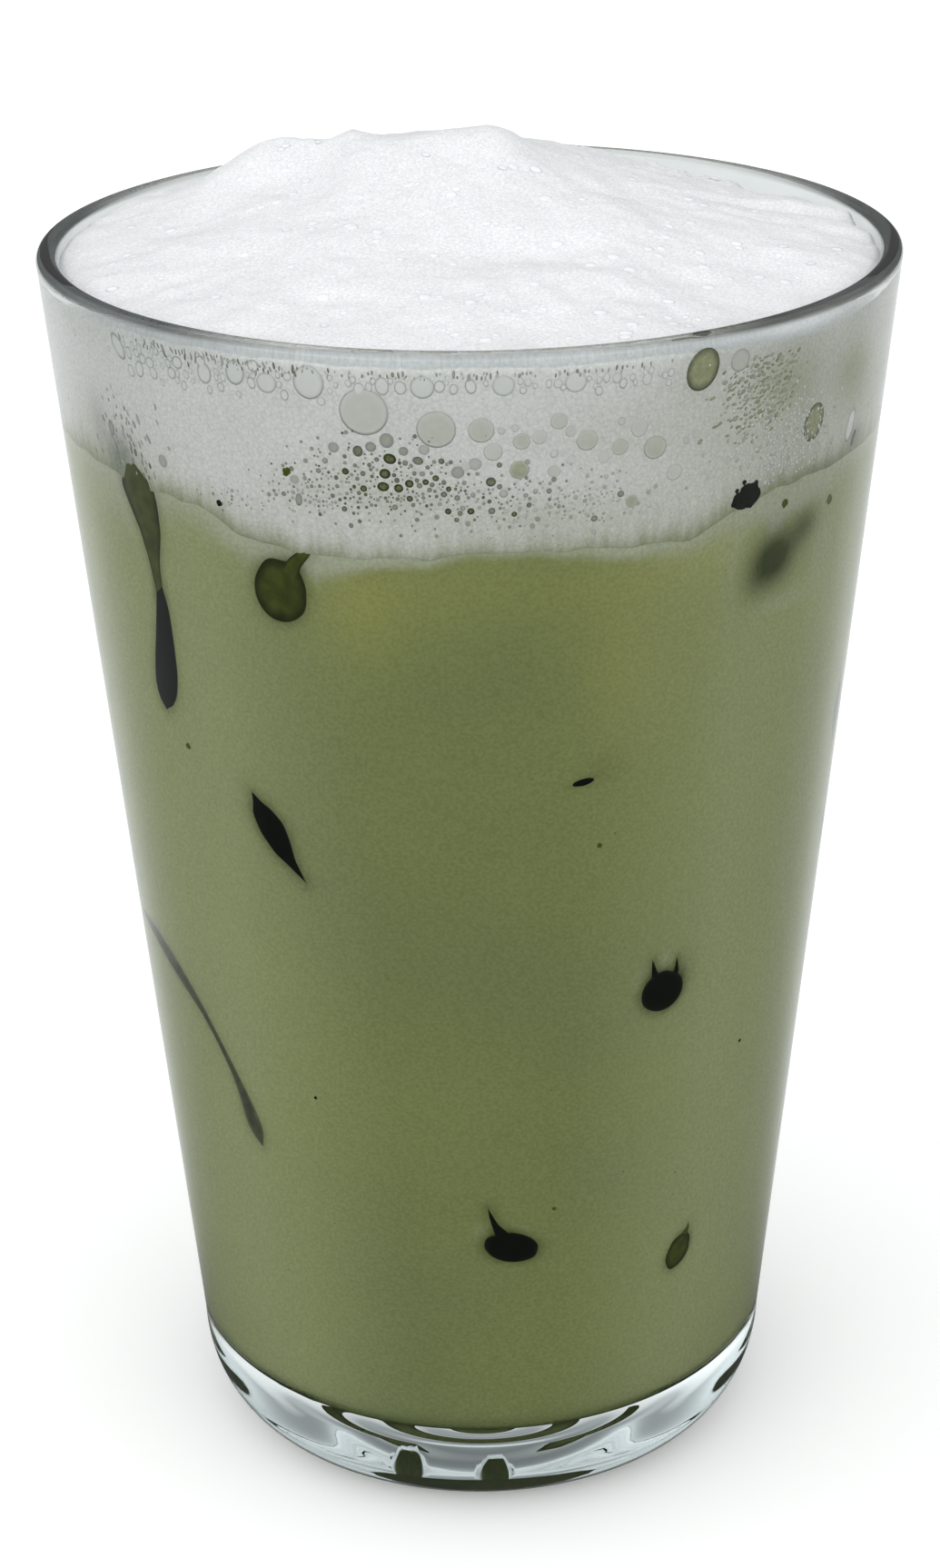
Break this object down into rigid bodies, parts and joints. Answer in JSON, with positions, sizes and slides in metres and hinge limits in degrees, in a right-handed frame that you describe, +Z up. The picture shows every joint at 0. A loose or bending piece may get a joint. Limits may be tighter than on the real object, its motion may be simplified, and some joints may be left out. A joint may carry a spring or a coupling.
{
  "type": "iced matcha latte in a glass tumbler",
  "caption": "Straight-sided clear glass tumbler filled with pale green iced matcha latte, topped by a thick layer and mound of white milk foam.",
  "frame": {"origin": "centre of the glass's foot, on the surface it stands on", "axes": "+Z up along the glass's axis, the pictured front faces -Y, +X to the viewer's right"},
  "size_m": [0.088, 0.088, 0.1439],
  "materials": {
    "clear_glass": "pressed clear soda-lime glass, fire-polished lip",
    "matcha_milk": "opaque milky green drink",
    "milk_foam": "fine white milk foam with small bubbles"
  },
  "bodies": {
    "root": {"glass": "clear_glass", "drink": "matcha_milk", "milk_foam": "milk_foam"}
  },
  "joints": []
}
